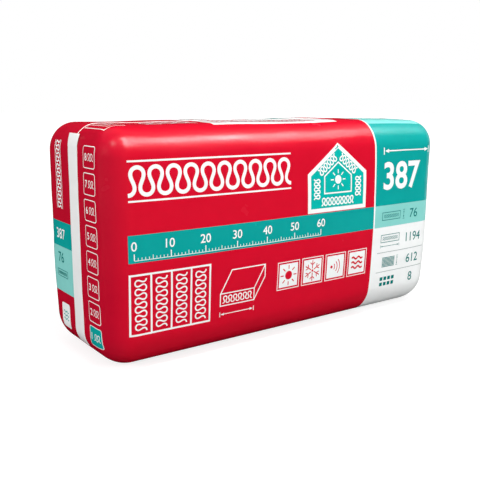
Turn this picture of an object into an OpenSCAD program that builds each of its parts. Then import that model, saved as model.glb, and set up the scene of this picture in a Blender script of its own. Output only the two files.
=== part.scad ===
// A pack of mineral wool batts, squeezed into a tight stack and wrapped in one printed film.
// Millimetres. +X runs along the batts, +Y through their width, +Z up through the stack.
// The origin is the middle of the underside, where the pack stands on a floor.

/* [Batts] */
// Length of each batt
batt_length = 1194; // [600:1:1500]
// Width of each batt
batt_width = 387; // [300:1:620]
// Thickness of each batt while the pack squeezes it
packed_thickness = 76; // [50:0.5:120]
// Number of batts in the stack
batt_count = 8; // [4:1:12]
// Gap left between neighbouring batts
batt_gap = 0.4; // [0.2:0.1:0.8]

/* [Squeezed form] */
// How far the front and back bulge at mid height
side_bulge = 15; // [0:1:25]
// How far the top is crowned along its middle
top_crown = 5; // [0:1:12]
// Radius of the two long edges on top
top_edge_radius = 76; // [50:1:90]
// Radius of the two long edges underneath
foot_edge_radius = 90; // [50:1:110]
// Radius of the edges around each end
end_edge_radius = 66; // [30:1:90]

/* [Film] */
// Wall of the film
film_wall = 0.6; // [0.4:0.1:1.5]
// Clearance between the film and the batts
film_clearance = 0.3; // [0.2:0.05:0.6]

/* [Lap seam] */
// Width of the lap seam that closes each end
seam_width = 57; // [30:1:80]
// How far the middle of the seam lies off the middle of the end, towards the front
seam_offset = 15; // [0:1:40]
// Height that the lap stands proud of the film around it
seam_lift = 0.8; // [0.4:0.1:2]
// Share of the rounded edges, below and above the flat of the end, that the seam covers
seam_wrap = 0.6; // [0:0.05:0.9]

/* [Hidden] */

film_red = [0.84, 0.08, 0.19];
wool_tan = [0.60, 0.54, 0.40];

// The film lies around the batts at this distance, wall included.
film_reach = film_clearance + film_wall;
pack_length = batt_length + 2 * film_reach;
pack_depth = batt_width + 2 * film_reach;
layer_pitch = packed_thickness + batt_gap;
pack_height = batt_count * layer_pitch - batt_gap + 2 * film_reach;
// The height of the long edges: the crown rises above them to the full height.
edge_height = pack_height - top_crown;

// Facets around each rounded edge, up each side, across the crown and along the pack
edge_facets = 7;
side_facets = 8;
crown_facets = 6;
length_facets = 12;
// Exponent of the bulge along the pack: full over the middle, gone at the ends
bulge_exponent = 4;
// Depth to which the lap sinks into the film that carries it
seam_root = film_wall / 2;
// Facets of each rounded edge that the seam covers
seam_facets = round(seam_wrap * edge_facets);

// Share of the bulge at height z: none at the floor and at the long edges on top
function bulge_at_height(z) = max(0, 1 - pow(2 * z / edge_height - 1, 2));
// Share of the bulge at station x along the pack
function bulge_at_station(x) = max(0, 1 - pow(abs(2 * x / pack_length), bulge_exponent));
// Share of the crown at distance y from the middle
function crown_across(y) = max(0, 1 - pow(2 * y / pack_depth, 2));

// Quarter arc of n facets about [cx, cy] that starts at angle `from`, without its last point
function arc_points(cx, cy, r, from, n) =
    [for (i = [0:n - 1]) let (a = from + 90 * i / n) [cx + r * cos(a), cy + r * sin(a)]];
// Straight run of n facets from a towards b, without its last point
function run_points(a, b, n) = [for (i = [0:n - 1]) a + (b - a) * i / n];

// Rounded rectangle about the origin of the plane, counter-clockwise from its right side:
// half width w, from v0 up to v1, radii r0 below and r1 above, and the facets of each stretch.
function rounded_outline(w, v0, v1, r0, r1, up, over, under) =
    concat(
        run_points([w, v0 + r0], [w, v1 - r1], up),
        arc_points(w - r1, v1 - r1, r1, 0, edge_facets),
        run_points([w - r1, v1], [r1 - w, v1], over),
        arc_points(r1 - w, v1 - r1, r1, 90, edge_facets),
        run_points([-w, v1 - r1], [-w, v0 + r0], up),
        arc_points(r0 - w, v0 + r0, r0, 180, edge_facets),
        run_points([r0 - w, v0], [w - r0, v0], under),
        arc_points(w - r0, v0 + r0, r0, 270, edge_facets)
    );

// The form seen from its end, [y, z]: bulging sides, a crowned top and a flat foot
function end_outline(grow) =
    [for (p = rounded_outline(pack_depth / 2 + grow, -grow, edge_height + grow,
            foot_edge_radius + grow, top_edge_radius + grow, side_facets, crown_facets, 1))
        [p.x + sign(p.x) * side_bulge * bulge_at_height(p.y),
         p.y + top_crown * crown_across(p.x) * max(0, 2 * p.y / edge_height - 1)]];

// The form seen from above, [x, y]: the bulge fades out towards both ends
function plan_outline(grow) =
    [for (p = rounded_outline(pack_length / 2 + grow, -pack_depth / 2 - grow,
            pack_depth / 2 + grow, end_edge_radius + grow, end_edge_radius + grow,
            1, length_facets, length_facets))
        [p.x, p.y + sign(p.y) * side_bulge * bulge_at_station(p.x)]];

// The form seen from the front, [x, z]: the crown fades out towards both ends
function crowned(p) =
    [p.x, p.y + (p.y > edge_height / 2 ? top_crown * bulge_at_station(p.x) : 0)];
function front_outline(grow) =
    [for (p = rounded_outline(pack_length / 2 + grow, -grow, edge_height + grow,
            end_edge_radius + grow, end_edge_radius + grow, 1, length_facets, 1))
        crowned(p)];

// The squeezed form: what its three outlines have in common, all moved outwards by `grow`.
// Each outline is drawn out well past the others.
module squeezed_form(grow) {
    intersection() {
        rotate([90, 0, 90])
            linear_extrude(2 * pack_length, center = true)
                polygon(end_outline(grow));
        linear_extrude(4 * pack_height, center = true)
            polygon(plan_outline(grow));
        rotate([90, 0, 0])
            linear_extrude(2 * pack_length, center = true)
                polygon(front_outline(grow));
    }
}

// Profile of one end's film from the seam's foot to its head, [x, z], moved outwards by `grow`
function seam_profile(grow) =
    let (
        reach = end_edge_radius + grow,
        x = pack_length / 2 - end_edge_radius,
        step = 90 / edge_facets
    )
    concat(
        [for (i = [-seam_facets:0])
            [x + reach * cos(i * step), end_edge_radius + reach * sin(i * step)]],
        [for (i = [0:seam_facets])
            crowned([x + reach * cos(i * step),
                     edge_height - end_edge_radius + reach * sin(i * step)])]
    );

// The lap seam of the end at +X: a strip of film that follows the end from foot to head
module lap_seam() {
    inner = seam_profile(-seam_root);
    outer = seam_profile(seam_lift);
    rotate([90, 0, 0])
        translate([0, 0, seam_offset - seam_width / 2])
            linear_extrude(seam_width)
                polygon(concat(outer, [for (i = [len(inner) - 1:-1:0]) inner[i]]));
}

// The printed film that holds the stack squeezed, lapped and welded at both ends
module film_wrap() {
    color(film_red)
    union() {
        difference() {
            squeezed_form(0);
            squeezed_form(-film_wall);
        }
        lap_seam();
        mirror([1, 0, 0]) lap_seam();
    }
}

// The stack of batts, each one taking its share of the squeezed form
module batts() {
    color(wool_tan)
    difference() {
        squeezed_form(-film_reach);
        for (i = [1:batt_count - 1])
            translate([-pack_length, -pack_depth, film_reach + i * layer_pitch - batt_gap])
                cube([2 * pack_length, 2 * pack_depth, batt_gap]);
    }
}

film_wrap();
batts();
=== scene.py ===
"""A film-wrapped pack of mineral wool batts: its skin, seams, print, wool and stage."""

import math

import bmesh
import bpy
import numpy as np
from bpy.props import FloatProperty, FloatVectorProperty, IntProperty, PointerProperty
from mathutils import Matrix, Vector


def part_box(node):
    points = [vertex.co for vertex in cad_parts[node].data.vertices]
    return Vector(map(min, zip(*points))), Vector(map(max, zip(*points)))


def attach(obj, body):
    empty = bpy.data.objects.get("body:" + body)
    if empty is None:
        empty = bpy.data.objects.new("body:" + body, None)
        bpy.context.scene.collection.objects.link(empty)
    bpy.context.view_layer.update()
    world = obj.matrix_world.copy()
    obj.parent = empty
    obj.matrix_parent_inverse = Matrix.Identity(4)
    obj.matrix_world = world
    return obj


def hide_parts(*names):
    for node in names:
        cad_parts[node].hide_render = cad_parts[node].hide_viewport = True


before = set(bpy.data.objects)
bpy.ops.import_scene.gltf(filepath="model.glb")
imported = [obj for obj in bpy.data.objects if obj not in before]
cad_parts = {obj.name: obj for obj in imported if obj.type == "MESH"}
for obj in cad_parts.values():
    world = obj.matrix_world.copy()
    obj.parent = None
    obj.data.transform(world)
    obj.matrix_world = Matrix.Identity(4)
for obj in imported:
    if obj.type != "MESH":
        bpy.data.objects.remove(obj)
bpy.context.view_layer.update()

bl_info = {
    "name": "Batt Pack",
    "version": (1, 0, 0),
    "blender": (4, 5, 0),
    "location": "View3D > Sidebar > Batt Pack",
    "description": "Dresses a film-wrapped pack of mineral wool batts",
    "category": "Object",
}

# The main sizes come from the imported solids: the batts' box and the film's box.
BATTS_LOW, BATTS_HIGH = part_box("batts")
FILM_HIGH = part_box("film_wrap")[1]
FILM_REACH = BATTS_LOW.z
HALF_LENGTH = BATTS_HIGH.x + FILM_REACH
HALF_DEPTH = FILM_HIGH.y
HEIGHT = FILM_HIGH.z
SEAM_LIFT = FILM_HIGH.x - HALF_LENGTH

MM = 0.001


# ---------------------------------------------------------------- settings


def length(name, description, default, low=0.0):
    """A length property in metres."""
    return FloatProperty(
        name=name, description=description, default=default, min=low, unit="LENGTH",
        subtype="DISTANCE", precision=4,
    )


def colour(name, description, default):
    """A colour property, red, green and blue."""
    return FloatVectorProperty(
        name=name, description=description, default=default, size=3, min=0.0, max=1.0,
        subtype="COLOR",
    )


def watts(name, description, default):
    """A lamp's power, a property in watts."""
    return FloatProperty(
        name=name, description=description, default=default, min=0.0, unit="POWER"
    )


def degrees(name, description, default):
    """An angle property, its default given in degrees."""
    return FloatProperty(
        name=name, description=description, default=math.radians(default), subtype="ANGLE"
    )


class FormSettings(bpy.types.PropertyGroup):
    """The squeezed form that the film is drawn over."""

    batt_count: IntProperty(
        name="Batts", description="Number of batts in the stack", default=8, min=1
    )
    side_bulge: length("Side bulge", "How far the front and back bulge at mid height", 15 * MM)
    top_crown: length("Top crown", "How far the top is crowned along its middle", 5 * MM)
    top_radius: length("Top edge radius", "Radius of the two long edges on top", 76 * MM)
    foot_radius: length("Foot edge radius", "Radius of the two long edges underneath", 90 * MM)
    end_radius: length("End edge radius", "Radius of the edges around each end", 66 * MM)
    foot_ease: length("Foot ease", "How much rounder each end is at its foot", 20 * MM)
    loft: length("Loft", "How far the film stands up over the panel", 4 * MM)
    slack: length("Slack", "Depth of the film's long soft waves", 1.3 * MM)
    groove: length("Layer grooves", "Depth of the dips where two batts meet", 0.35 * MM)
    cell: length("Cell", "Spacing of the film's mesh", 6.2 * MM)


class SeamSettings(bpy.types.PropertyGroup):
    """The unprinted lap seams down both ends, and the weld over the top."""

    centre: length("Centre", "Where the lap seams run across the ends", -15 * MM, -1.0)
    width: length("Width", "Width of a lap seam", 57 * MM)
    foot: length("Foot", "Height of a lap seam's lower end", 36 * MM)
    head: length("Head", "Height of a lap seam's upper end", 586 * MM)
    stand: length("Stand-off", "How far down a lap seam's stiff upper end stands off", 34 * MM)
    sheet: length("Sheet", "Thickness of the folded film of a lap seam", 0.6 * MM)
    weld_width: length("Weld width", "Width of the weld over the top", 3.4 * MM)
    weld_height: length("Weld height", "Height of the weld's bead", 0.9 * MM)


class PrintSettings(bpy.types.PropertyGroup):
    """The colours of the print and the heights and stations where they change."""

    red: colour("Red", "Ground colour of the film", (0.634, 0.0036, 0.0225))
    # Painted shade: the darker red painted on the left end, where less light falls
    deep_red: colour("Deep red", "The red where the film is gathered on the end", (0.50, 0.0027, 0.0215))
    teal: colour("Teal", "Band and upper panel", (0.0027, 0.344, 0.321))
    light_teal: colour("Light teal", "Stripe under the upper panel", (0.242, 0.643, 0.598))
    pale_teal: colour("Pale teal", "Panel's colour on the top", (0.242, 0.714, 0.67))
    dark_teal: colour("Dark teal", "Figures on the pale panels", (0.0036, 0.196, 0.179))
    white: colour("White", "White ink", (0.90, 0.92, 0.915))
    grey: colour("Grey", "Rules and small bars on the pale panels", (0.32, 0.375, 0.375))
    bare_film: colour("Bare film", "Unprinted film of the lap seams", (0.85, 0.85, 0.845))
    bright_teal: colour("Bright teal", "Ground of the house", (0.0018, 0.446, 0.393))
    band_low: length("Band's lower edge", "Height of the teal band's lower edge", 282 * MM)
    band_high: length("Band's upper edge", "Height of the teal band's upper edge", 351 * MM)
    band_start: length("Band's start", "Distance from the middle to the band's left end", 545 * MM)
    panel_start: length("Panel's start", "Station where the panel ring begins", 295 * MM)
    pinstripe: length("Pinstripe", "Width of the white line beside the panel", 6 * MM)


class StageSettings(bpy.types.PropertyGroup):
    """Where the camera stands and how bright the studio is."""

    lens: FloatProperty(name="Lens", description="Focal length in mm", default=50.5, min=1.0)
    camera_place: FloatVectorProperty(
        name="Camera", description="Where the camera stands", default=(-1.259, -1.6185, 0.6686),
        size=3, subtype="TRANSLATION", unit="LENGTH",
    )
    heading: degrees("Heading", "Turn of the view from +Y towards +X", 36.35)
    tilt: degrees("Tilt", "How far the view looks down", 11.7)
    roll: degrees("Roll", "Turn of the camera about its view", 0.483)
    ambient: FloatProperty(name="Ambient", description="Strength of the sky", default=0.56, min=0.0)
    softbox: watts("Softbox", "The long box above", 80.0)
    key: watts("Key", "The box before the front", 163.0)
    fill: watts("Fill", "The box on the left", 85.0)
    sheen: watts("Sheen", "A square metre of the row of boxes that gloss sees", 69.0)
    streak: watts("Streak", "The brighter box in that row", 120.0)
    spot: watts("Spot", "The box that gloss sees over the corner", 50.0)


class BattPackSettings(bpy.types.PropertyGroup):
    """Everything that a user would change."""

    form: PointerProperty(type=FormSettings)
    seam: PointerProperty(type=SeamSettings)
    ink: PointerProperty(type=PrintSettings)
    stage: PointerProperty(type=StageSettings)


# ---------------------------------------------------------------- the squeezed form


def smooth(value, start, end):
    """0 below start, 1 above end, and a smooth step between them."""
    share = np.clip((value - start) / (end - start), 0, 1)
    return share * share * (3 - 2 * share)


# Waves of the film: their length, how many of them, and the seed of their directions
LONG_WAVES = (370 * MM, 7, 3)
SHORT_WAVES = (140 * MM, 9, 5)
DIP_WAVES = (250 * MM, 6, 8)

EASE_HEIGHT = 240 * MM  # up to here the ends are rounder
LOFT_STATION = 340 * MM  # where the top stands up most
LOFT_SPREAD = 200 * MM  # how far to either side it does
TOP_ROLL = 60 * MM  # how far under the top the sides roll over
CALM_FOOT = 70 * MM  # up to here the film's waves grow from nothing at the foot
DIP_FOOT = (50 * MM, 120 * MM)  # between these heights the dips between batts set in
DIP_HEAD = 50 * MM  # over this height they fade, up to where the sides roll over


def ripple(points, wavelength, waves, seed):
    """A sum of plane waves of one length in seeded directions, about -1 to 1."""
    rng = np.random.default_rng(seed)
    heading = rng.normal(size=(waves, 3))
    heading *= 2 * np.pi / wavelength / np.linalg.norm(heading, axis=1, keepdims=True)
    phase = rng.uniform(0, 2 * np.pi, waves)
    return np.sin(points @ heading.T + phase).sum(axis=1) / math.sqrt(2 * waves)


def round_corner(first, second, radius):
    """Distance outside the round corner between two faces, from the distances past each of them."""
    first, second = first + radius, second + radius
    outside = np.hypot(np.maximum(first, 0), np.maximum(second, 0))
    return outside + np.minimum(np.maximum(first, second), 0) - radius


def section_distance(points, form):
    """Distance outside the cross-section of the pack at each point's station.

    The section is a rounded rectangle. A parabola of the height pushes its sides out, a parabola
    of the width raises its top, and both fade towards the ends as 1 - |x / half length|^4.
    """
    x, y, z = points.T
    edge_height = HEIGHT - form.top_crown
    half = HALF_DEPTH - form.side_bulge
    along = np.clip(1 - np.abs(x / HALF_LENGTH) ** 4, 0, 1)
    level = 2 * z / edge_height - 1
    bulge = form.side_bulge * np.clip(1 - level**2, 0, 1) * along
    crown = form.top_crown * np.clip(1 - (y / half) ** 2, 0, 1) * np.clip(level, 0, 1) * along
    radius = np.where(level > 0, form.top_radius, form.foot_radius)
    up = np.abs(z - crown - edge_height / 2) - edge_height / 2
    return round_corner(np.abs(y) - bulge - half, up, radius)


def form_distance(points, form):
    """Distance outside the squeezed form: the section drawn out, with its ends rounded over."""
    radius = form.end_radius + form.foot_ease * (1 - smooth(points[:, 2], 0.0, EASE_HEIGHT))
    return round_corner(section_distance(points, form), np.abs(points[:, 0]) - HALF_LENGTH, radius)


def film_relief(points, form):
    """How far the film stands proud of the form.

    Long soft waves and shorter ones lie all over it. On the upright sides the film dips where two
    batts meet, by a high power of a cosine of the height. Over the panel the top stands up in one
    soft hump. Nothing moves at the foot.
    """
    z = points[:, 2]
    away = (points[:, 0] - LOFT_STATION) / LOFT_SPREAD
    hump = form.loft * np.exp(-(away**2)) * smooth(z, HEIGHT - TOP_ROLL, HEIGHT)
    waves = ripple(points, *LONG_WAVES) + 0.5 * ripple(points, *SHORT_WAVES)
    pitch = (HEIGHT - 2 * FILM_REACH) / form.batt_count
    joint = np.cos(np.pi * (z - FILM_REACH) / pitch) ** 8
    upper = smooth(z, HEIGHT - TOP_ROLL - DIP_HEAD, HEIGHT - TOP_ROLL)
    sides = smooth(z, *DIP_FOOT) * (1 - upper)
    dip = form.groove * joint * sides * (0.7 + 0.6 * ripple(points, *DIP_WAVES))
    return (form.slack * waves - dip) * smooth(z, 0.0, CALM_FOOT) + hump


def film_distance(points, form):
    """Distance outside the film, relief included."""
    return form_distance(points, form) - film_relief(points, form)


def film_normal(points, form, step=0.5 * MM):
    """The film's outward direction at each point, from central differences."""
    slopes = [
        film_distance(points + step * axis, form) - film_distance(points - step * axis, form)
        for axis in np.eye(3)
    ]
    normal = np.stack(slopes, axis=1)
    return normal / np.linalg.norm(normal, axis=1, keepdims=True)


def settled(points, form, rounds=8):
    """The points moved along the film's normal until they lie on it."""
    for _ in range(rounds):
        points = points - film_normal(points, form) * film_distance(points, form)[:, None]
    return points


def dropped(points, inward, form, rounds=60):
    """The points moved along one direction until they meet the film."""
    for _ in range(rounds):
        points = points + inward * film_distance(points, form)[:, None]
    return points


def lifted(points, height, form):
    """The points of the film raised off it by those heights."""
    return points + film_normal(points, form) * height[:, None]


# ---------------------------------------------------------------- meshes


def lattice_shell(low, high, cells):
    """The six sides of a box as one closed grid: its points, and quads that face outwards.

    Each side is a grid of two of the three cell counts. A point is known by its whole-number
    place in the lattice, so sides that meet share their points.
    """
    cells = np.asarray(cells)
    sides = []
    for axis, (u, v) in enumerate(((1, 2), (2, 0), (0, 1))):
        i, j = np.meshgrid(np.arange(cells[u]), np.arange(cells[v]), indexing="ij")
        for end in (0, cells[axis]):
            places = np.zeros(i.shape + (4, 3), int)
            places[..., axis] = end
            places[..., u] = i[..., None] + [0, 1, 1, 0]
            places[..., v] = j[..., None] + [0, 0, 1, 1]
            quads = places.reshape(-1, 4, 3)
            sides.append(quads if end else quads[:, ::-1])
    quads = np.concatenate(sides)
    keys = quads @ np.array([1, cells[0] + 1, (cells[0] + 1) * (cells[1] + 1)])
    _, first, corners = np.unique(keys, return_index=True, return_inverse=True)
    share = quads.reshape(-1, 3)[first] / cells
    return np.asarray(low) + share * (np.asarray(high) - np.asarray(low)), corners.reshape(-1, 4)


def linked(name, data):
    """An object of that name and data, linked to the scene."""
    thing = bpy.data.objects.new(name, data)
    bpy.context.scene.collection.objects.link(thing)
    return thing


def add_piece(name, points, faces, materials, inks=None):
    """A mesh object of those points and faces, smooth, which rides on the pack."""
    mesh = bpy.data.meshes.new(name)
    mesh.from_pydata(np.asarray(points).tolist(), [], [list(face) for face in faces])
    for material in materials:
        mesh.materials.append(material)
    if inks is not None:
        mesh.polygons.foreach_set("material_index", np.asarray(inks, np.int32))
    mesh.polygons.foreach_set("use_smooth", np.ones(len(mesh.polygons), bool))
    piece = linked(name, mesh)
    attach(piece, "root")
    return piece


def merged(piece, distance=1e-6):
    """The piece with points that coincide made one, which closes seams and poles."""
    work = bmesh.new()
    work.from_mesh(piece.data)
    bmesh.ops.remove_doubles(work, verts=work.verts, dist=distance)
    work.to_mesh(piece.data)
    work.free()
    return piece


# ---------------------------------------------------------------- shader expressions


class Value:
    """A socket that takes part in arithmetic: each operation adds its Math node."""

    def __init__(self, nodes, socket):
        self.nodes = nodes
        self.socket = socket

    def math(self, operation, *others):
        return self.nodes.add("ShaderNodeMath", {"operation": operation}, [self, *others])

    def __add__(self, other):
        return self.math("ADD", other)

    def __sub__(self, other):
        return self.math("SUBTRACT", other)

    def __rsub__(self, other):
        return self.nodes.add("ShaderNodeMath", {"operation": "SUBTRACT"}, [other, self])

    def __mul__(self, other):
        return self.math("MULTIPLY", other)

    def __truediv__(self, other):
        return self.math("DIVIDE", other)

    def __abs__(self):
        return self.math("ABSOLUTE")

    def __gt__(self, other):
        return self.math("GREATER_THAN", other)

    def __lt__(self, other):
        return self.math("LESS_THAN", other)

    __radd__ = __add__
    __rmul__ = __mul__

    def between(self, low, high):
        """1 between low and high, and 0 outside."""
        return (self > low) * (self < high)

    def clamped(self):
        """The value kept between 0 and 1."""
        return self.nodes.add("ShaderNodeClamp", {}, [self])


class Nodes:
    """Builds one node tree."""

    def __init__(self, tree):
        self.tree = tree
        tree.nodes.clear()

    def add(self, kind, settings=None, inputs=(), output=0):
        """A node of that kind: its settings first, then the values or links of its sockets."""
        node = self.tree.nodes.new(kind)
        for key, setting in (settings or {}).items():
            setattr(node, key, setting)
        pairs = inputs.items() if isinstance(inputs, dict) else enumerate(inputs)
        for key, given in pairs:
            if isinstance(given, Value):
                self.tree.links.new(given.socket, node.inputs[key])
            elif given is not None:
                node.inputs[key].default_value = given
        return Value(self, node.outputs[output]) if len(node.outputs) else node

    def place(self):
        """The place on the piece, in metres, and its three parts."""
        where = self.add("ShaderNodeTexCoord", output="Object")
        parts = self.add("ShaderNodeSeparateXYZ", {}, [where]).socket.node
        return [where] + [Value(self, parts.outputs[i]) for i in range(3)]

    def mix(self, share, first, second):
        """The first colour where share is 0, the second where it is 1."""
        colours = [c if isinstance(c, Value) else (*c, 1.0) for c in (first, second)]
        return self.add(
            "ShaderNodeMix", {"data_type": "RGBA"}, {0: share, 6: colours[0], 7: colours[1]}, 2
        )

    def noise(self, where, scale, detail=2.0, roughness=0.5):
        """Noise of that many cells a metre, 0 to 1."""
        inputs = {"Vector": where, "Scale": scale, "Detail": detail, "Roughness": roughness}
        return self.add("ShaderNodeTexNoise", {}, inputs)

    def stretched(self, where, scale):
        """The place scaled along each axis, for patterns that run along one."""
        return self.add("ShaderNodeVectorMath", {"operation": "MULTIPLY"}, [where, scale])

    def bump(self, height, distance):
        """A bumped normal, its full height that distance."""
        return self.add(
            "ShaderNodeBump", {}, {"Strength": 1.0, "Distance": distance, "Height": height}
        )

    def surface(self, base, roughness, normal=None, **constants):
        """A Principled surface on the tree's output."""
        inputs = {"Base Color": base, "Roughness": roughness, "Normal": normal, **constants}
        inputs = {name.replace("_", " "): given for name, given in inputs.items()}
        shader = self.add("ShaderNodeBsdfPrincipled", {}, inputs)
        self.add("ShaderNodeOutputMaterial", {}, [shader])


def new_material(name):
    """A material of that name and the builder of its nodes."""
    material = bpy.data.materials.new(name)
    material.use_nodes = True
    return material, Nodes(material.node_tree)


def film_bump(nodes, where, ridges=0.0):
    """The film's fine relief: wool that shows through, crinkles, pull lines along the pack, ridges."""
    wool = nodes.noise(where, 42.0, 2.0)
    crinkle = nodes.noise(where, 150.0, 3.0, 0.6)
    pull = nodes.noise(nodes.stretched(where, (5.0, 60.0, 60.0)), 1.0, 2.0)
    return nodes.bump(wool * 0.5 + crinkle * 0.16 + pull * 0.34 + ridges, 0.9 * MM)


def film_surface(nodes, where, base, roughness=0.25, ridges=0.0):
    """Gloss film of that colour, with smudges in its gloss."""
    smudge = nodes.noise(where, 9.0, 3.0, 0.6)
    gloss = smudge * 0.12 + (roughness - 0.06)
    nodes.surface(base, gloss, film_bump(nodes, where, ridges), Specular_IOR_Level=0.09)


def uneven(nodes, where, base):
    """The colour with ink that lies a little uneven: darker by a few hundredths in clouds."""
    shade = nodes.noise(where, 24.0, 4.0, 0.6)
    return nodes.mix((shade - 0.5) * 0.10 + 0.04, base, (0.0, 0.0, 0.0))


# Places of the ground print, and of the painted shade on the left end: stations along the pack, reaches
# across it, heights above the floor
END_SHADE_START, END_SHADE_RUN = -535 * MM, 45 * MM
BLOCK_STATION, BLOCK_FOOT = -552 * MM, 156 * MM
BLOCK_ACROSS = (10 * MM, 158 * MM)
FIELD_ALONG, FIELD_REACH = (-260 * MM, 184 * MM), 141 * MM
PALE_END, PALE_REACH = 556 * MM, 158 * MM
TOP_ONLY = 500 * MM


def printed_film(settings):
    """The film with its ground print: red, the teal band, the panel ring and the end's blocks."""
    ink = settings.ink
    material, nodes = new_material("printed_film")
    where, x, y, z = nodes.place()
    top = z > TOP_ONLY
    # Painted shade: over the left end's corner the red darkens to a deeper red on the end, where less
    # light falls
    shaded = ((END_SHADE_START - x) / END_SHADE_RUN).clamped()
    base = nodes.mix(shaded, ink.red, ink.deep_red)
    band = z.between(ink.band_low, ink.band_high)
    base = nodes.mix(band * (x > -ink.band_start), base, ink.teal)
    # The blocks on the back part of the left end
    blocks = (x < BLOCK_STATION) * y.between(*BLOCK_ACROSS)
    base = nodes.mix(blocks * z.between(BLOCK_FOOT, ink.band_low), base, ink.light_teal)
    base = nodes.mix(blocks * band, base, ink.teal)
    # The white field on the top
    base = nodes.mix(x.between(*FIELD_ALONG) * (abs(y) < FIELD_REACH) * top, base, ink.white)
    # The panel ring: white, a light stripe, teal, and pale teal over the top
    panel = nodes.mix(z > ink.band_low, ink.white, ink.light_teal)
    panel = nodes.mix(z > ink.band_high, panel, ink.teal)
    panel = nodes.mix((abs(y) < PALE_REACH) * top * (x < PALE_END), panel, ink.pale_teal)
    base = nodes.mix(x > ink.panel_start, base, panel)
    base = nodes.mix(abs(x - ink.panel_start) < ink.pinstripe / 2, base, ink.white)
    film_surface(nodes, where, uneven(nodes, where, base))
    return material


def ink_material(name, tint):
    """Ink of one colour on the film, with the film's own gloss and relief."""
    material, nodes = new_material(name + "_ink")
    where = nodes.place()[0]
    film_surface(nodes, where, uneven(nodes, where, tint))
    return material


RIDGE_PITCH = 3 * MM


def bare_film(settings):
    """Unprinted film of the lap seams: milky, with the ridges that the sealing jaws crimp in it."""
    material, nodes = new_material("bare_film")
    where, _, y, z = nodes.place()
    cloud = nodes.noise(where, 14.0, 3.0, 0.6)
    jaw = abs(y - settings.seam.centre) < 0.30 * settings.seam.width
    ridge = (z * (2 * math.pi / RIDGE_PITCH)).math("SINE") * jaw
    # The clouds are the film's own uneven tone; the darkening in the troughs between the crimp ridges is
    # painted shade
    grey = cloud * 0.16 + (1 - ridge) * jaw * 0.05
    base = nodes.mix(grey, settings.ink.bare_film, (0.64, 0.65, 0.65))
    film_surface(nodes, where, base, 0.36, ridge * 0.10)
    return material


def wool_material():
    """Stone wool: olive brown, with fibres that lie along the layers."""
    material, nodes = new_material("stone_wool")
    where = nodes.place()[0]
    cloud = nodes.noise(where, 16.0, 4.0, 0.6)
    fibre = nodes.noise(nodes.stretched(where, (90.0, 90.0, 600.0)), 1.0, 5.0, 0.7)
    base = nodes.mix(cloud, (0.27, 0.21, 0.10), (0.38, 0.31, 0.17))
    base = nodes.mix(fibre * 0.6, base, (0.16, 0.12, 0.06))
    nodes.surface(base, 0.95, nodes.bump(fibre, 1.2 * MM))
    return material


# ---------------------------------------------------------------- flat print, in two dimensions

CELL = 8 * MM

# How far figures are drawn out past their plain outline, in their own units
LIGHT = 0.007
BOLD = 0.022


def patch(grid):
    """A grid of flat points (rows, columns, 2) as a patch: its points and its quads."""
    rows, columns = grid.shape[:2]
    index = np.arange(rows * columns).reshape(rows, columns)
    quads = np.stack([index[:-1, :-1], index[1:, :-1], index[1:, 1:], index[:-1, 1:]], axis=-1)
    return grid.reshape(-1, 2), quads.reshape(-1, 4)


def steps(span):
    """How many cells a span needs."""
    return max(1, math.ceil(abs(span) / CELL))


def block(left, low, right, high):
    """A filled rectangle."""
    u = np.linspace(left, right, steps(right - left) + 1)
    v = np.linspace(low, high, steps(high - low) + 1)
    return patch(np.stack(np.meshgrid(u, v, indexing="ij"), axis=-1))


def dense(path):
    """The path with points added, so that no stretch of it is longer than a cell."""
    span = np.diff(path, axis=0)
    counts = np.maximum(1, np.ceil(np.linalg.norm(span, axis=1) / CELL)).astype(int)
    share = np.concatenate([np.arange(n) / n for n in counts])[:, None]
    run = np.repeat(path[:-1], counts, axis=0) + share * np.repeat(span, counts, axis=0)
    return np.vstack([run, path[-1:]])


def stroke(path, width, closed=False):
    """A ribbon along a path: each point moves to both sides along the mitre of its two stretches."""
    path = np.asarray(path, float)
    path = dense(np.vstack([path, path[:1]]) if closed else path)
    along = np.diff(path, axis=0)
    along /= np.linalg.norm(along, axis=1, keepdims=True)
    side = np.stack([-along[:, 1], along[:, 0]], axis=1)
    before = np.vstack([side[-1:] if closed else side[:1], side])
    after = np.vstack([side, side[:1] if closed else side[-1:]])
    mitre = (before + after) / (1 + (before * after).sum(axis=1, keepdims=True))
    shift = mitre[:, None] * (width * np.array([0.5, -0.5]))[None, :, None]
    return patch(path[:, None] + shift)


def disc(centre, outer, around=24):
    """A disc: radius by angle."""
    angle = np.linspace(0, 2 * np.pi, around + 1)
    radius = np.linspace(0, outer, steps(outer) + 1)
    spoke = np.stack([np.cos(angle), np.sin(angle)], axis=-1)
    return patch(np.asarray(centre) + radius[:, None, None] * spoke[None])


def filled(path):
    """An outline filled from its middle: each ring is the outline shrunk towards the middle."""
    path = np.asarray(path, float)
    middle = path.mean(axis=0)
    ring = dense(np.vstack([path, path[:1]]))
    reach = np.linalg.norm(ring - middle, axis=1).max()
    share = np.linspace(0, 1, steps(reach) + 1)[:, None, None]
    return patch(middle + share * (ring - middle)[None])


def arc(centre, radius, start, end, points=13):
    """Points on an arc, its angles in degrees."""
    angle = np.radians(np.linspace(start, end, points))
    return np.asarray(centre) + radius * np.stack([np.cos(angle), np.sin(angle)], axis=1)


def rounded(left, low, right, high, radius):
    """The outline of a rectangle with round corners."""
    corners = (
        ((right - radius, low + radius), 270), ((right - radius, high - radius), 0),
        ((left + radius, high - radius), 90), ((left + radius, low + radius), 180),
    )
    return np.vstack([arc(c, radius, a, a + 90, 5) for c, a in corners])


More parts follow.
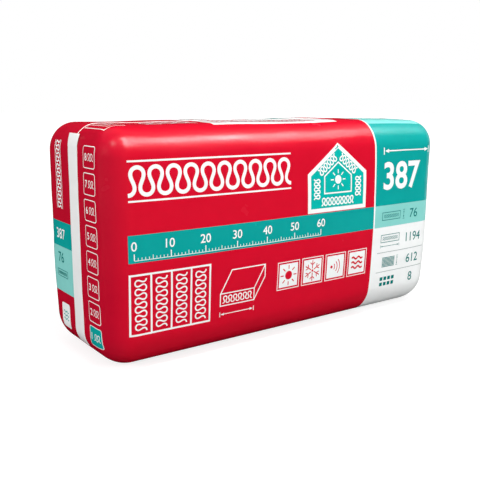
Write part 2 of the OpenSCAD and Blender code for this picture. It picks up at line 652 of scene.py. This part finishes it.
def meander(start, end, height, loops, swing=1.95):
    """The drafting sign for a batt, from start to end and `height` across.

    Its heading swings as a sine of the distance run, so that it folds into fat loops.
    """
    run = np.linspace(0, loops, 72 * loops + 1)
    heading = swing * np.sin(2 * np.pi * (run[1:] + run[:-1]) / 2)
    u = np.concatenate([[0], np.cumsum(np.cos(heading))])
    v = np.concatenate([[0], np.cumsum(np.sin(heading))])
    start, end = np.asarray(start), np.asarray(end)
    ahead = end - start
    side = np.array([-ahead[1], ahead[0]]) / np.linalg.norm(ahead)
    return start + np.outer(u / u[-1], ahead) + np.outer(v / v.max() - 0.5, side * height)


def draw_out(work, reach):
    """Widens flat figures: each point of a rim moves along the mitre of its two rim edges."""
    outward = {}
    for edge in work.edges:
        if edge.is_boundary:
            corner = edge.link_loops[0]
            along = (corner.link_loop_next.vert.co - corner.vert.co).normalized()
            for vert in edge.verts:
                outward.setdefault(vert, []).append(Vector((along.y, -along.x, 0)))
    for vert, (first, second) in outward.items():
        vert.co += (first + second) * reach / max(1 + first.dot(second), 0.2)


def figures(body, left, low, height, weight=LIGHT):
    """Plain figures as a flat patch, `height` tall, from Blender's own letterforms.

    The letterforms are cut along lines a cell apart, so that they can follow a curved face.
    """
    curve = bpy.data.curves.new("figures", "FONT")
    curve.body = body
    curve.resolution_u = 8
    maker = bpy.data.objects.new("figures", curve)
    work = bmesh.new()
    work.from_mesh(maker.to_mesh())
    maker.to_mesh_clear()
    bpy.data.objects.remove(maker)
    bpy.data.curves.remove(curve)
    draw_out(work, weight)
    places = np.array([vert.co for vert in work.verts])[:, :2]
    low_corner, span = places.min(axis=0), np.ptp(places, axis=0)
    scale = height / span[1]
    for axis, normal in ((0, (1, 0, 0)), (1, (0, 1, 0))):
        for cut in np.arange(CELL, span[axis] * scale, CELL) / scale + low_corner[axis]:
            parts = work.verts[:] + work.edges[:] + work.faces[:]
            bmesh.ops.bisect_plane(
                work, geom=parts, plane_co=[cut * part for part in normal], plane_no=normal
            )
    bmesh.ops.triangulate(work, faces=work.faces)
    work.verts.index_update()
    points = np.array([vert.co for vert in work.verts])[:, :2]
    corners = np.array([[vert.index for vert in face.verts] for face in work.faces])
    work.free()
    return (points - low_corner) * scale + (left, low), corners


def moved(patches, right=0.0, up=0.0):
    """The patches moved to the right and up."""
    return [(points + (right, up), corners) for points, corners in patches]


# ---------------------------------------------------------------- the motifs of the print


def frame_line(left, low, right, high, width):
    """The outline of a rectangle."""
    return stroke([(left, low), (right, low), (right, high), (left, high)], width, closed=True)


def batt_sign(start, end, height, weight, rule=0.0):
    """The drafting sign for a batt, in as many loops as fit, and a rule on both sides if asked."""
    start, end = np.asarray(start), np.asarray(end)
    reach = np.linalg.norm(end - start)
    loops = max(2, round(reach / (0.79 * height)))
    parts = [stroke(meander(start, end, height, loops), weight)]
    if rule:
        ahead = (end - start) / reach
        shift = np.array([-ahead[1], ahead[0]]) * (height / 2 + weight + rule)
        parts += [stroke([start + way * shift, end + way * shift], rule) for way in (-1, 1)]
    return parts


def slab(left, middle, width, height, weight):
    """A batt seen from its edge: an outline round the sign."""
    low, high = middle - height / 2, middle + height / 2
    inset = 0.30 * height
    start, end = (left + inset, middle), (left + width - inset, middle)
    sign = batt_sign(start, end, height - 2 * inset, 0.7 * weight)
    return [frame_line(left, low, left + width, high, weight), *sign]


def pile(left, low, width, pitch, count):
    """Thin batts one over the other."""
    return [
        block(left, low + pitch * row, left + width, low + pitch * (row + 0.6))
        for row in range(count)
    ]


def oblique_batt(left, low, width, height, depth, weight):
    """A batt drawn obliquely: its edge with the sign, and its top and side drawn back by `depth`."""
    back = np.asarray(depth)
    right, high = left + width, low + height
    near = np.array([(left, low), (right, low), (right, high), (left, high)])
    outline = [near[3], near[3] + back, near[2] + back, near[1] + back, near[1]]
    inset = 0.22 * height
    start, end = (left + inset, low + height / 2), (right - inset, low + height / 2)
    return [
        stroke(near, weight, closed=True),
        stroke(outline, weight),
        stroke([near[2], near[2] + back], weight),
        *batt_sign(start, end, height - 2 * inset, weight),
    ]


def stud_wall(left, low, bay, bays, height, weight):
    """An open stud wall: studs between two plates, and the sign in each bay."""
    right, high = left + bay * bays, low + height
    pitch = bay - weight / bays
    parts = [block(left, v, right, v + weight) for v in (low, high - weight)]
    for stud in range(bays + 1):
        u = left + pitch * stud
        parts.append(block(u, low + weight, u + weight, high - weight))
    for gap in range(bays):
        u = left + pitch * (gap + 0.5) + weight / 2
        start, end = (u, low + 2.4 * weight), (u, high - 2.4 * weight)
        parts += batt_sign(start, end, 0.52 * bay, 0.75 * weight)
    return parts


def gable(width, height):
    """The outline of a house about its middle."""
    return np.array([(-0.5, -0.5), (0.5, -0.5), (0.5, 0.06), (0, 0.5), (-0.5, 0.06)]) * (width, height)


def wool_waves(side, weight):
    """Three wavy lines, one over the other, for wool."""
    u = np.linspace(-0.5, 0.5, 33)
    wave = 0.07 * np.sin(4 * np.pi * u)
    return [
        stroke(np.stack([u * side, (wave + row) * side], axis=1), weight)
        for row in (-0.32, 0.0, 0.32)
    ]


def sun(radius):
    """A disc with eight rays."""
    rays = [
        stroke([arm * 0.62 * radius, arm * radius], 0.11 * radius)
        for arm in arc((0, 0), 1.0, 0, 315, 8)
    ]
    return [disc((0, 0), 0.43 * radius, around=32), *rays]


def snow(radius):
    """A small disc and six arms, each with two twigs."""
    parts = [disc((0, 0), 0.12 * radius)]
    for angle in range(30, 390, 60):
        ways = [arc((0, 0), 1.0, angle + turn, angle + turn, 1)[0] for turn in (0, 48, -48)]
        arm, left, right = ways
        parts.append(stroke([arm * 0.2 * radius, arm * radius], 0.10 * radius))
        for twig in (left, right):
            root = arm * 0.55 * radius + twig * 0.08 * radius
            parts.append(stroke([root, root + twig * 0.30 * radius], 0.09 * radius))
    return parts


def sound(radius):
    """A dot with three arcs that widen away from it."""
    middle = (-0.75 * radius, 0)
    arcs = [stroke(arc(middle, r * radius, -40, 40), 0.13 * radius) for r in (0.62, 1.10, 1.58)]
    return [disc(middle, 0.22 * radius), *arcs]


def dimension(left, right, level, weight):
    """A dimension line: arrowheads at both ends, and an end bar beyond each."""
    head, wing = 5 * weight, 1.7 * weight
    parts = [stroke([(left + head, level), (right - head, level)], weight)]
    for tip, way in ((left, 1), (right, -1)):
        base = tip + way * head
        parts.append(filled([(tip, level), (base, level - wing), (base, level + wing)]))
        edge = tip - way * weight
        parts.append(stroke([(edge, level - 3 * weight), (edge, level + 3 * weight)], weight))
    return parts


def upright(patches):
    """The patches with their two directions exchanged, so that a level line stands up."""
    return [(points[:, ::-1], corners) for points, corners in patches]


# Rise and width of the scale's ticks at each 100, 50 and 10 mm
TICKS = ((17 * MM, 2.4 * MM), (11 * MM, 1.5 * MM), (7 * MM, 1.5 * MM))


def measure(left, level, hundreds):
    """A measuring scale: ticks each 10 mm, longer each 50 and 100 mm, with plain centimetre figures."""
    parts = [stroke([(left, level), (left + 0.1 * hundreds, level)], 1.4 * MM)]
    for tick in range(10 * hundreds + 1):
        rise, width = TICKS[0 if tick % 10 == 0 else 1 if tick % 5 == 0 else 2]
        u = left + 0.01 * tick
        parts.append(block(u - width / 2, level + 1.2 * MM, u + width / 2, level + rise))
    for count in range(hundreds + 1):
        text = str(10 * count)
        u = left + 0.1 * count - 7.5 * MM * len(text)
        parts.append(figures(text, u, level + 24 * MM, height=23 * MM))
    return parts


# Each side's right and up as one looks at it from outside
SIDES = {
    "front": ((1, 0, 0), (0, 0, 1)),
    "back": ((-1, 0, 0), (0, 0, 1)),
    "left": ((0, -1, 0), (0, 0, 1)),
    "right": ((0, 1, 0), (0, 0, 1)),
    "top": ((1, 0, 0), (0, 1, 0)),
}
INK_LIFT = 0.25 * MM
LAYER_LIFT = 0.12 * MM


def print_on(name, side, layers, settings):
    """One printed motif: flat patches dropped onto a side of the film.

    `layers` lists (ink, patches) from the lowest ink up. Each patch is carried to the film along
    the side's inward direction and then lifted along the film's normal, by a little more for
    each layer.
    """
    right, up = np.array(SIDES[side], float)
    inward = -np.cross(right, up)
    inks = sorted({ink for ink, _ in layers})
    flat, faces, kinds, lifts = [], [], [], []
    count = 0
    for level, (ink, patches) in enumerate(layers):
        for points, corners in patches:
            ring = points[corners]
            turned = np.roll(ring, -1, axis=1)
            area = (ring[..., 0] * turned[..., 1] - ring[..., 1] * turned[..., 0]).sum(axis=1)
            ordered = np.where((area < 0)[:, None], corners[:, ::-1], corners)
            flat.append(points)
            faces.extend((ordered + count).tolist())
            kinds.append(np.full(len(corners), inks.index(ink)))
            lifts.append(np.full(len(points), INK_LIFT + level * LAYER_LIFT))
            count += len(points)
    flat, lifts = np.concatenate(flat), np.concatenate(lifts)
    place = flat[:, :1] * right + flat[:, 1:] * up - inward
    place = lifted(dropped(place, inward, settings.form), lifts, settings.form)
    materials = [ink_of(ink, settings) for ink in inks]
    return merged(add_piece(name, place, faces, materials, np.concatenate(kinds)))


def ink_of(name, settings):
    """The ink of that name, made once."""
    return bpy.data.materials.get(name + "_ink") or ink_material(name, getattr(settings.ink, name))


# ---------------------------------------------------------------- operators


class OBJECT_OT_batt_film(bpy.types.Operator):
    """Draws the printed film over the squeezed form"""

    bl_idname = "object.batt_film"
    bl_label = "Film"
    bl_options = {"REGISTER", "UNDO"}

    def execute(self, context):
        """A lattice box moved onto the film's surface, so its grid runs round every edge."""
        settings = context.scene.batt_pack
        form = settings.form
        low = np.array((-HALF_LENGTH, -HALF_DEPTH, 0.0))
        high = np.array((HALF_LENGTH, HALF_DEPTH, HEIGHT))
        cells = np.round((high - low) / form.cell).astype(int)
        points, quads = lattice_shell(low, high, cells)
        points = settled(points, form)
        points[:, 2] = np.maximum(points[:, 2], 0.0)
        film = add_piece("film_skin", points, quads, [printed_film(settings)])
        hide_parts("film_wrap")
        return {"FINISHED"}


RIM_LIFT = 0.15 * MM  # how far the rims of a seam or weld lie from the film
HEAD_START, HEAD_FLARE = 0.93, 0.08  # where along a seam its head widens, and by what share


class OBJECT_OT_batt_lap_seams(bpy.types.Operator):
    """Lays the unprinted lap seam down both ends"""

    bl_idname = "object.batt_lap_seams"
    bl_label = "Lap seams"
    bl_options = {"REGISTER", "UNDO"}

    def execute(self, context):
        """A strip across by height, settled on the film.

        Its upper end is stiff: there it stands off by half of what the film rolls away. It is a
        little wider at its head. Its rims lie closer to the film than its middle.
        """
        settings = context.scene.batt_pack
        form, seam = settings.form, settings.seam
        across, along = np.meshgrid(np.linspace(-1, 1, 25), np.linspace(0, 1, 140), indexing="ij")
        flare = 1 + HEAD_FLARE * smooth(along, HEAD_START, 1.0)
        side = seam.centre + across * seam.width / 2 * flare
        height = seam.foot + along * (seam.head - seam.foot)
        rim = np.minimum(1 - np.abs(across), 16 * np.minimum(along, 1 - along))
        lift = RIM_LIFT + smooth(rim, 0.0, 0.12) * (SEAM_LIFT - RIM_LIFT)
        stiff = height > seam.head - seam.stand
        quads = patch(np.stack([across, along], axis=-1))[1]
        for name, end in (("lap_seam_left", -1), ("lap_seam_right", 1)):
            place = np.stack([np.full(side.size, end), side.ravel(), height.ravel()], axis=1)
            place = dropped(place, np.array((-end, 0, 0)), form)
            reach = np.abs(place[:, 0]).reshape(side.shape)
            rolled = np.where(stiff, np.where(stiff, 0, reach).max(axis=1, keepdims=True) - reach, 0)
            place[:, 0] += end * 0.5 * np.maximum(rolled, 0).ravel()
            place = lifted(place, lift.ravel(), form)
            strip = add_piece(name, place, quads[:, ::end], [bare_film(settings)])
            sheet = strip.modifiers.new("Sheet", "SOLIDIFY")
            sheet.thickness = seam.sheet
            sheet.offset = -1
        return {"FINISHED"}


class OBJECT_OT_batt_weld(bpy.types.Operator):
    """Runs the lengthwise weld of the film over the top, from one lap seam to the other"""

    bl_idname = "object.batt_weld"
    bl_label = "Lengthwise weld"
    bl_options = {"REGISTER", "UNDO"}

    def execute(self, context):
        """A low bead along an arch over both ends: a raised cosine across, settled on the film.

        Low powers of the angle's cosine and sine give the arch its long top and short legs. Its
        ends start beside the ends of the pack, a little under the heads of the lap seams.
        """
        settings = context.scene.batt_pack
        form, seam = settings.form, settings.seam
        angle = np.linspace(0, np.pi, 241)
        reach = HALF_LENGTH - 0.5 * form.end_radius
        drop = 30 * MM
        x = -np.sign(np.cos(angle)) * reach * np.abs(np.cos(angle)) ** 0.25
        x[0], x[-1] = -HALF_LENGTH - 10 * MM, HALF_LENGTH + 10 * MM
        z = HEIGHT - drop + drop * np.sin(angle) ** 0.3
        z[0] = z[-1] = seam.head - 8 * MM
        arch = dense(np.stack([x, z], axis=1))
        share = np.linspace(-1, 1, 7)
        rows, columns = len(arch), len(share)
        across = np.tile(seam.centre + share * seam.weld_width / 2, rows)
        along, up = np.repeat(arch, columns, axis=0).T
        place = settled(np.stack([along, across, up], axis=1), form)
        bead = (np.cos(share * np.pi) + 1) / 2 * (seam.weld_height + RIM_LIFT) - RIM_LIFT
        place = lifted(place, np.tile(bead, rows), form)
        quads = patch(place.reshape(rows, columns, 3)[..., :2])[1]
        add_piece("lengthwise_weld", place, quads[:, ::-1], [ink_of("white", settings)])
        return {"FINISHED"}


class OBJECT_OT_batt_wool(bpy.types.Operator):
    """Stacks the batts inside the film"""

    bl_idname = "object.batt_wool"
    bl_label = "Wool"
    bl_options = {"REGISTER", "UNDO"}

    def execute(self, context):
        """Each batt is a lattice box whose points are drawn in wherever they stand past the film.

        They are drawn in less in height than sideways, so that the layers stay flat.
        """
        form = context.scene.batt_pack.form
        low, high = np.array(BATTS_LOW), np.array(BATTS_HIGH)
        pitch = (high[2] - low[2]) / form.batt_count
        inset = FILM_REACH + 1.4 * form.slack
        gap = 0.2 * MM
        points, quads = [], []
        count = 0
        for layer in range(form.batt_count):
            foot = (low[0], low[1], low[2] + layer * pitch + gap)
            head = (high[0], high[1], low[2] + (layer + 1) * pitch - gap)
            batt, faces = lattice_shell(foot, head, (60, 22, 6))
            points.append(batt)
            quads.append(faces + count)
            count += len(batt)
        points = np.concatenate(points)
        for _ in range(8):
            past = np.maximum(form_distance(points, form) + inset, 0)
            push = film_normal(points, form) * past[:, None]
            points = points - push * (1, 1, 0.35)
        wool = add_piece("wool_batts", points, np.concatenate(quads), [wool_material()])
        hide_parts("batts")
        return {"FINISHED"}


# Each motif is laid out in metres: to the right from the middle of its side, and up from the
# floor, or on the top from the middle.


class OBJECT_OT_batt_side_print(bpy.types.Operator):
    """Prints the front and the back"""

    bl_idname = "object.batt_side_print"
    bl_label = "Front and back print"
    bl_options = {"REGISTER", "UNDO"}

    def execute(self, context):
        """The panel ring stands on the right of the front and on the left of the back.

        So the main print moves to the right on the back, and the panel's print to the left.
        """
        settings = context.scene.batt_pack
        for side, shift, panel_shift in (("front", 0.0, 0.0), ("back", 0.285, -0.88)):
            for name, layers in self.main_print().items():
                self.put(name, side, layers, shift, settings)
            for name, layers in self.panel_print().items():
                self.put(name, side, layers, panel_shift, settings)
        return {"FINISHED"}

    def put(self, name, side, layers, shift, settings):
        """One motif on the front or back, moved to the right."""
        layers = [(ink, moved(patches, shift)) for ink, patches in layers]
        print_on(f"{side}_{name}", side, layers, settings)

    def main_print(self):
        """The sign between its rules, the scale in the band, the house on it, drawings and signs."""
        left = -545 * MM
        sign = batt_sign((left + 3 * MM, 0.480), (-0.045, 0.480), 0.066, weight=10 * MM, rule=4.5 * MM)
        drawings = [
            *stud_wall(left, 0.096, bay=0.058, bays=4, height=0.158, weight=5 * MM),
            *oblique_batt(-0.282, 0.132, 0.112, 0.034, depth=(0.036, 0.062), weight=3 * MM),
            *dimension(-0.280, -0.172, level=0.108, weight=2.2 * MM),
        ]
        squares, marks = [], []
        start, pitch, level = -48 * MM, 91.5 * MM, 184 * MM
        signs = (sun(0.030), snow(0.031), sound(0.021), wool_waves(0.047, 5.5 * MM))
        for count, motif in enumerate(signs):
            u, outer, inner = start + pitch * count, 40 * MM, 34 * MM
            squares.append(frame_line(u - outer, level - outer, u + outer, level + outer, 2.2 * MM))
            squares.append(block(u - inner, level - inner, u + inner, level + inner))
            marks += moved(motif, u, level)
        return {
            "batt_sign": [("white", sign)],
            "scale": [("white", measure(left + 15 * MM, 0.288, hundreds=6))],
            "house": self.house((0.135, 0.4515), 0.222, 0.184),
            "drawings": [("white", drawings)],
            "signs": [("white", squares), ("red", marks)],
        }

    def house(self, middle, width, height):
        """A house with batts in its walls, floor and roof, and a sun inside."""
        outline = gable(width, height)
        white = [stroke(outline, 12 * MM, closed=True), stroke(0.48 * outline, 4 * MM, closed=True)]
        run = 0.74 * outline
        for start, end in zip(run, np.roll(run, -1, axis=0)):
            trim = 0.11 * (end - start)
            white += batt_sign(start + trim, end - trim, 0.021, 4 * MM)
        white += moved(sun(0.029), 0, -0.006)
        return [("bright_teal", moved([filled(outline)], *middle)), ("white", moved(white, *middle))]

    def panel_print(self):
        """The batt's width, and beside small drawings its thickness, its length and the pack's count."""
        left = 332 * MM
        tally = [
            block(u, v, u + 13 * MM, v + 12 * MM)
            for v in (0.087, 0.105)
            for u in np.linspace(0.340, 0.394, 4)
        ]
        big = [
            figures("387", left + 1 * MM, 0.398, height=0.088, weight=BOLD),
            *dimension(left + 4 * MM, 0.544, level=0.520, weight=3.6 * MM),
        ]
        dark = [
            *slab(left, 0.316, 0.086, 0.024, 2 * MM),
            *upright(dimension(0.303, 0.329, level=0.436, weight=1.6 * MM)),
            figures("76", 0.466, 0.301, 0.030),
            *slab(left, 0.244, 0.086, 0.024, 2 * MM),
            *dimension(left + 1 * MM, 0.417, level=0.219, weight=1.6 * MM),
            figures("1194", 0.452, 0.223, 0.030),
            *pile(left + 12 * MM, 0.150, width=0.058, pitch=4.2 * MM, count=8),
            *upright(dimension(0.152, 0.181, level=0.414, weight=1.4 * MM)),
            figures("612", 0.460, 0.151, 0.030),
            *tally,
            figures("8", 0.478, 0.087, 0.030),
        ]
        rules = [stroke([(0.318, v), (0.546, v)], 1.8 * MM) for v in (0.199, 0.135)]
        return {"width": [("white", big)], "sizes": [("dark_teal", dark), ("grey", rules)]}


class OBJECT_OT_batt_end_print(bpy.types.Operator):
    """Prints both ends"""

    bl_idname = "object.batt_end_print"
    bl_label = "End print"
    bl_options = {"REGISTER", "UNDO"}

    def execute(self, context):
        """On the right end, the boxes up to the light stripe are dark and those above are white."""
        settings = context.scene.batt_pack
        rows = range(1, settings.form.batt_count + 1)
        dark = len(rows) // 2 + 1
        prints = {
            "left_pile": self.numbered(rows, "white", "teal"),
            "left_sizes": self.left_sizes(),
            "left_patch": self.patch_with_waves(-0.100, -0.048),
            "right_low_pile": self.numbered(rows[:dark], "dark_teal"),
            "right_high_pile": self.numbered(rows[dark:], "white"),
            "right_sizes": self.right_sizes(),
            "right_patch": self.patch_with_waves(-0.116, -0.064),
        }
        for name, layers in prints.items():
            print_on(name, name.split("_")[0], layers, settings)
        return {"FINISHED"}

    def numbered(self, rows, ink, fill=None):
        """The pack's batts as numbered boxes one over the other, the lowest on a filled one."""
        left, right, foot, pitch, height = 0.080, 0.140, 0.056, 0.0645, 0.052
        lines, filling = [], []
        for row in rows:
            low = foot + pitch * (row - 1)
            middle = low + height / 2
            outline = rounded(left, low, right, low + height, 6 * MM)
            lines.append(stroke(outline, 2 * MM, closed=True))
            lines.append(figures(str(row), left + 8 * MM, middle - 9 * MM, 18 * MM, BOLD / 2))
            lines += batt_sign((left + 25 * MM, middle), (right - 6 * MM, middle), 17 * MM, 2 * MM)
            if fill and row == rows[0]:
                filling.append(filled(outline))
        return [(fill, filling), (ink, lines)] if filling else [(ink, lines)]

    def left_sizes(self):
        """An upright sign, and the sizes on the two blocks."""
        white = batt_sign((-0.082, 0.386), (-0.082, 0.566), 0.024, weight=4 * MM, rule=2.2 * MM)
        white.append(figures("387", -0.114, 0.303, 0.028))
        dark = [figures("76", -0.107, 0.238, 0.028), *slab(-0.114, 0.208, 0.064, 0.018, 1.8 * MM)]
        return [("white", white), ("dark_teal", dark)]

    def right_sizes(self):
        """The same on the panel's colours."""
        white = batt_sign((-0.091, 0.432), (-0.091, 0.566), 0.022, weight=3.6 * MM, rule=2 * MM)
        white.append(figures("387", -0.134, 0.374, 0.034, BOLD / 2))
        dark = [
            figures("76", -0.116, 0.301, 0.029),
            figures("1194", -0.133, 0.217, 0.026),
            *slab(-0.130, 0.188, 0.076, 0.020, 1.8 * MM),
        ]
        return [("white", white), ("dark_teal", dark)]

    def patch_with_waves(self, left, right):
        """A white patch with round corners and teal wool waves."""
        low, high = 57 * MM, 126 * MM
        waves = moved(wool_waves(32 * MM, 3 * MM), (left + right) / 2, (low + high) / 2)
        return [("white", [filled(rounded(left, low, right, high, 7 * MM))]), ("teal", waves)]


class OBJECT_OT_batt_top_print(bpy.types.Operator):
    """Prints the top"""

    bl_idname = "object.batt_top_print"
    bl_label = "Top print"
    bl_options = {"REGISTER", "UNDO"}

    def execute(self, context):
        settings = context.scene.batt_pack
        signs = [
            frame_line(-0.567, -0.133, -0.512, -0.026, 2 * MM),
            *upright(slab(-0.122, -0.5395, 0.085, 0.026, 2 * MM)),
            *batt_sign((-0.440, -0.076), (-0.290, -0.076), 0.052, weight=6 * MM, rule=3 * MM),
        ]
        print_on("top_signs", "top", [("white", signs)], settings)
        left = -235 * MM
        field = [
            *batt_sign((left, 0.060), (0.010, 0.060), 0.075, weight=9 * MM, rule=4 * MM),
            *stud_wall(left, -0.120, bay=0.050, bays=7, height=0.088, weight=4.5 * MM),
        ]
        sky = moved(sun(0.042), 0.100, 0.060)
        print_on("top_field", "top", [("red", field), ("teal", sky)], settings)
        panel = [
            figures("387", 0.345, 0.010, height=0.080, weight=BOLD),
            *dimension(0.345, 0.530, level=-0.034, weight=3.6 * MM),
            *slab(0.350, -0.090, 0.170, 0.036, 3 * MM),
        ]
        print_on("top_sizes", "top", [("dark_teal", panel)], settings)
        return {"FINISHED"}


# The row of boxes that gloss sees: start, end, middle across, and brightness against the setting
SHEEN_ROW = (
    (-1.3, 0.0, -1.8, 0.25),
    (0.0, 1.1, -2.0, 2.6),
    (1.1, 2.2, -1.55, 0.4),
    (2.2, 2.5, -1.6, 0.65),
    (2.5, 3.2, -1.6, 0.55),
    (3.2, 3.8, -1.7, 0.9),
    (3.8, 4.8, -1.2, 0.10),
)
SHEEN_WIDTH = 1.9
SHEEN_HEIGHT = 3.6
AIM = Vector((0, 0, 0.35))  # about the middle of the pack; every lamp faces it

# The floor's half width, where it starts to fade to white and over how far, its grey, and how
# bright it seems under the pack and away from it
FLOOR_REACH = 30.0
FLOOR_NEAR, FLOOR_FADE = 1.2, 2.5
FLOOR_GREY = (0.34, 0.34, 0.34)
NEAR_GLOW, FAR_GLOW = 0.78, 0.98


class OBJECT_OT_batt_stage(bpy.types.Operator):
    """Sets up the floor, the studio light and the camera"""

    bl_idname = "object.batt_stage"
    bl_label = "Stage"
    bl_options = {"REGISTER", "UNDO"}

    def execute(self, context):
        settings = context.scene.batt_pack
        scene = context.scene
        scene.view_settings.view_transform = "Standard"
        self.floor()
        # Dark cards keep the film's colour deep where it is seen at a low angle
        self.card("left_card", (-1.55, 0.30), (-0.35, 0.86), 1.5)
        self.card("back_card", (-0.24, 2.39), (2.36, 0.51), 4.2)
        self.card("right_card", (3.30, -0.90), (0.20, -2.60), 2.2)
        self.world(settings.stage)
        self.lamps(settings.stage)
        self.camera(scene, settings.stage)
        return {"FINISHED"}

    def floor(self):
        """A wide pale floor. What the camera sees of it is lifted to white, and its shadow stays."""
        material, nodes = new_material("floor")
        corners = np.array([(-1, -1, 0), (1, -1, 0), (1, 1, 0), (-1, 1, 0)]) * FLOOR_REACH
        floor = self.sheet("floor", corners, material)
        seen = self.seen(nodes)
        away = nodes.add(
            "ShaderNodeVectorMath", {"operation": "LENGTH"}, [nodes.place()[0]], "Value"
        )
        apart = ((away - FLOOR_NEAR) / FLOOR_FADE).clamped()
        # Painted shadow: beside the pack the floor turns dark for gloss rays, so that the foot's
        # reflection of it stays deep in colour
        gloss = Value(nodes, nodes.add("ShaderNodeLightPath").socket.node.outputs["Is Glossy Ray"])
        gloss_shadow = gloss * (1 - apart)
        strength = seen * (NEAR_GLOW + (FAR_GLOW - NEAR_GLOW) * apart) * (1 - gloss_shadow)
        pale = nodes.mix(gloss_shadow, FLOOR_GREY, (0.0, 0.0, 0.0))
        ground = nodes.add("ShaderNodeBsdfDiffuse", {}, {"Color": pale})
        white = (1.0, 1.0, 1.0, 1.0)
        glow = nodes.add("ShaderNodeEmission", {}, {"Color": white, "Strength": strength})
        both = nodes.add("ShaderNodeAddShader", {}, [ground, glow])
        nodes.add("ShaderNodeOutputMaterial", {}, [both])

    def sheet(self, name, corners, material):
        """A flat piece of the stage between four corners."""
        mesh = bpy.data.meshes.new(name)
        mesh.from_pydata(corners.tolist(), [], [(0, 1, 2, 3)])
        mesh.materials.append(material)
        return linked(name, mesh)

    def seen(self, nodes):
        """1 for rays from the camera, off gloss or through glass, and 0 for the light on things."""
        path = nodes.add("ShaderNodeLightPath").socket.node
        kinds = ("Is Camera Ray", "Is Glossy Ray", "Is Transmission Ray")
        camera, glossy, through = [Value(nodes, path.outputs[kind]) for kind in kinds]
        return (camera + glossy + through).clamped()

    def world(self, stage):
        """A white sky that lights things less than it shows."""
        world = bpy.data.worlds.new("studio")
        world.use_nodes = True
        nodes = Nodes(world.node_tree)
        strength = self.seen(nodes) * (1.0 - stage.ambient) + stage.ambient
        sky = nodes.add("ShaderNodeBackground", {}, {"Color": (1, 1, 1, 1), "Strength": strength})
        nodes.add("ShaderNodeOutputWorld", {}, [sky])
        bpy.context.scene.world = world

    def lamps(self, stage):
        """A long softbox above, a key box before the front on its right and a fill on the left.

        Gloss sees a broad row of boxes above instead, each of its own brightness, with a bright
        streak in it, and a small box over the corner.
        """
        self.lamp("softbox", (0.45, -1.15, 3.55), (1, 0, 0), (2.8, 0.36), stage.softbox, "glossy")
        self.lamp("key", (1.9, -5.3, 3.0), (0.94, 0.34, 0), (2.6, 1.8), stage.key, "glossy")
        self.lamp("fill", (-4.2, -0.6, 1.9), (0.14, -0.99, 0), (2.0, 1.6), stage.fill, "glossy")
        for start, end, middle, share in SHEEN_ROW:
            power = stage.sheen * share * (end - start) * SHEEN_WIDTH
            place = ((start + end) / 2, middle, SHEEN_HEIGHT)
            self.lamp("sheen", place, (1, 0, 0), (end - start, SHEEN_WIDTH), power, "diffuse")
        self.lamp("streak", (1.92, -1.35, SHEEN_HEIGHT), (1, 0, 0), (0.6, 0.8), stage.streak, "diffuse")
        self.lamp("spot", (-2.0, -1.4, 3.0), (0.6, -0.8, 0), (0.9, 0.6), stage.spot, "diffuse")

    def lamp(self, name, place, along, size, power, unseen):
        """A box light that faces the pack, its long side along the given direction."""
        light = bpy.data.lights.new(name, "AREA")
        light.shape = "RECTANGLE"
        light.size, light.size_y = size
        light.energy = power
        back = (Vector(place) - AIM).normalized()
        up = back.cross(Vector(along)).normalized()
        lamp = linked(name, light)
        turn = Matrix((up.cross(back), up, back)).transposed().to_4x4()
        lamp.matrix_world = Matrix.Translation(place) @ turn
        setattr(lamp, "visible_" + unseen, False)

    def card(self, name, start, end, height):
        """A dark upright card on the floor from start to end, out of view, that only gloss sees."""
        material, nodes = new_material(name)
        cloth = nodes.add("ShaderNodeBsdfDiffuse", {}, {"Color": (0.02, 0.02, 0.02, 1.0)})
        nodes.add("ShaderNodeOutputMaterial", {}, [cloth])
        foot = np.array(((*start, 0.0), (*end, 0.0)))
        card = self.sheet(name, np.vstack([foot, foot[::-1] + (0, 0, height)]), material)
        for kind in ("camera", "diffuse", "shadow", "transmission", "volume_scatter"):
            setattr(card, "visible_" + kind, False)

    def camera(self, scene, stage):
        """Turned to the heading, tilted down, and rolled about its own view."""
        camera = bpy.data.cameras.new("camera")
        camera.lens = stage.lens
        camera.sensor_width = 36.0
        camera.clip_end = 200.0
        seat = linked("camera", camera)
        turn = Matrix.Rotation(-stage.heading, 4, "Z")
        tilt = Matrix.Rotation(math.pi / 2 - stage.tilt, 4, "X")
        roll = Matrix.Rotation(stage.roll, 4, "Z")
        seat.matrix_world = Matrix.Translation(stage.camera_place) @ turn @ tilt @ roll
        scene.camera = seat


OPERATORS = (
    OBJECT_OT_batt_film,
    OBJECT_OT_batt_lap_seams,
    OBJECT_OT_batt_weld,
    OBJECT_OT_batt_wool,
    OBJECT_OT_batt_side_print,
    OBJECT_OT_batt_end_print,
    OBJECT_OT_batt_top_print,
    OBJECT_OT_batt_stage,
)


class VIEW3D_PT_batt_pack(bpy.types.Panel):
    """The settings and the operators, in order"""

    bl_label = "Batt Pack"
    bl_space_type = "VIEW_3D"
    bl_region_type = "UI"
    bl_category = "Batt Pack"

    def draw(self, context):
        settings = context.scene.batt_pack
        for group in (settings.form, settings.seam, settings.ink, settings.stage):
            column = self.layout.column(align=True)
            for name in type(group).__annotations__:
                column.prop(group, name)
        column = self.layout.column(align=True)
        for operator in OPERATORS:
            column.operator(operator.bl_idname)


CLASSES = (
    FormSettings,
    SeamSettings,
    PrintSettings,
    StageSettings,
    BattPackSettings,
    *OPERATORS,
    VIEW3D_PT_batt_pack,
)


def register():
    for cls in CLASSES:
        bpy.utils.register_class(cls)
    bpy.types.Scene.batt_pack = PointerProperty(type=BattPackSettings)


def unregister():
    del bpy.types.Scene.batt_pack
    for cls in reversed(CLASSES):
        bpy.utils.unregister_class(cls)


def main():
    register()
    for operator in OPERATORS:
        group, name = operator.bl_idname.split(".")
        getattr(getattr(bpy.ops, group), name)()


if __name__ == "__main__":
    main()
